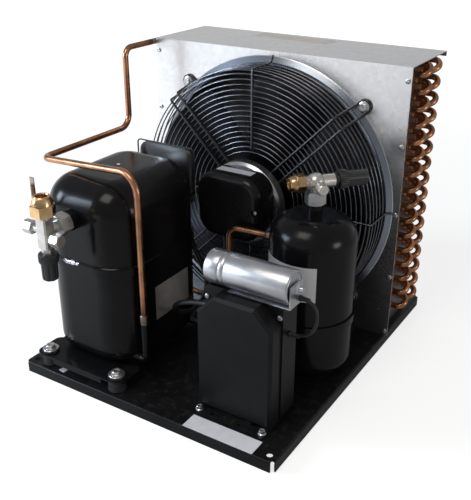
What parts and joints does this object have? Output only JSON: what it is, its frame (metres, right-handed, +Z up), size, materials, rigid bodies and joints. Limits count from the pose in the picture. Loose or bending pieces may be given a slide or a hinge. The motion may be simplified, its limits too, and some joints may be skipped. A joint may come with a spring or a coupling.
{
  "type": "refrigeration condensing unit",
  "caption": "Air-cooled refrigeration condensing unit: hermetic compressor, finned copper coil with shrouded axial fan, liquid receiver, service valves and electrical box on one deck.",
  "frame": {"origin": "centre of the four mounting holes, on the top face of the base deck", "axes": "+X along the condenser's width, +Y from the compressor side to the condenser, +Z up"},
  "size_m": [0.4716, 0.558, 0.451],
  "materials": {
    "galvanised": "spangled zinc, satin",
    "black_paint": "semi-gloss black enamel",
    "black_plastic": "moulded, fine grain",
    "copper": "bare copper, drawn",
    "brass": "machined",
    "nickel": "nickel-plated",
    "zinc_steel": "zinc-plated",
    "aluminium": "bare aluminium",
    "cast_iron": "as cast",
    "steel": "bare steel",
    "rubber": "moulded rubber",
    "wire_black": "black-coated wire",
    "cable_black": "sheathed cable"
  },
  "bodies": {
    "unit": {"base_plate": "black_paint", "box_bracket": "black_paint", "box_relay": "black_plastic", "capacitor_bracket": "galvanised", "capacitor_cable": "cable_black", "capacitor_can": "aluminium", "compressor_bolts": "zinc_steel", "compressor_cable": "cable_black", "compressor_feet": "black_paint", "compressor_grommets": "rubber", "compressor_lower_shell": "black_paint", "compressor_stator": "steel", "compressor_upper_shell": "black_paint", "compressor_weld": "black_paint", "condenser_tubes": "copper", "connecting_rod": "steel", "cover_screws": "zinc_steel", "cylinder_block": "cast_iron", "discharge_line": "copper", "discharge_stub": "black_paint", "electrical_box_base": "black_plastic", "electrical_box_cover": "black_plastic", "fan_guard": "wire_black", "fan_motor_stator": "steel", "fin_pack": "aluminium", "flange_bolts": "zinc_steel", "flare_nuts": "brass", "guard_arms": "wire_black", "liquid_line": "copper", "motor_cable": "cable_black", "motor_cover": "black_paint", "motor_shield": "aluminium", "piston": "steel", "port_caps": "zinc_steel", "process_tube": "copper", "receiver_foot": "black_paint", "receiver_lower_shell": "black_paint", "receiver_upper_shell": "black_paint", "receiver_valve_body": "nickel", "return_bends_left": "copper", "return_bends_right": "copper", "shroud": "galvanised", "shroud_screws": "zinc_steel", "suction_valve_body": "nickel", "suspension_springs": "steel", "terminal_cover": "black_plastic", "terminal_pins": "steel", "tube_sheet_left": "galvanised", "tube_sheet_right": "galvanised", "valve_nuts": "zinc_steel"},
    "fan": {"fan_motor_shaft": "steel", "fan_rotor": "steel", "fan_blades": "black_paint"},
    "crank": {"crankshaft": "steel", "compressor_rotor": "steel"},
    "suction_cap": {"suction_stem_cap": "black_plastic"},
    "suction_spindle": {"suction_valve_stem": "steel"},
    "receiver_cap": {"receiver_stem_cap": "black_plastic"},
    "receiver_spindle": {"receiver_valve_stem": "steel"},
    "bail": {"terminal_bail": "steel"}
  },
  "joints": [
    {"name": "fan_spin", "type": "hinge", "parent": "unit", "child": "fan", "pos_m": [0, 0.06, 0.213], "axis": [0, 1, 0], "continuous": true},
    {"name": "crankshaft_spin", "type": "hinge", "parent": "unit", "child": "crank", "pos_m": [-0.117, -0.1315, 0.1], "axis": [0, 0, 1], "continuous": true},
    {"name": "suction_cap_lift", "type": "slide", "parent": "unit", "child": "suction_cap", "axis": [0, 0, -1], "range_m": [0, 0.06]},
    {"name": "suction_spindle_turn", "type": "hinge", "parent": "unit", "child": "suction_spindle", "pos_m": [-0.123, -0.2805, 0.22], "axis": [0, 0, 1], "range_deg": [0, 1440]},
    {"name": "receiver_cap_lift", "type": "slide", "parent": "unit", "child": "receiver_cap", "axis": [0.6561, 0.7547, 0], "range_m": [0, 0.06]},
    {"name": "receiver_spindle_turn", "type": "hinge", "parent": "unit", "child": "receiver_spindle", "pos_m": [0.1496, -0.0339, 0.294], "axis": [0.6561, 0.7547, 0], "range_deg": [0, 1440]},
    {"name": "terminal_bail_swing", "type": "hinge", "parent": "unit", "child": "bail", "pos_m": [-0.117, -0.0232, 0.232], "axis": [-1, 0, 0], "range_deg": [0, 35]}
  ]
}
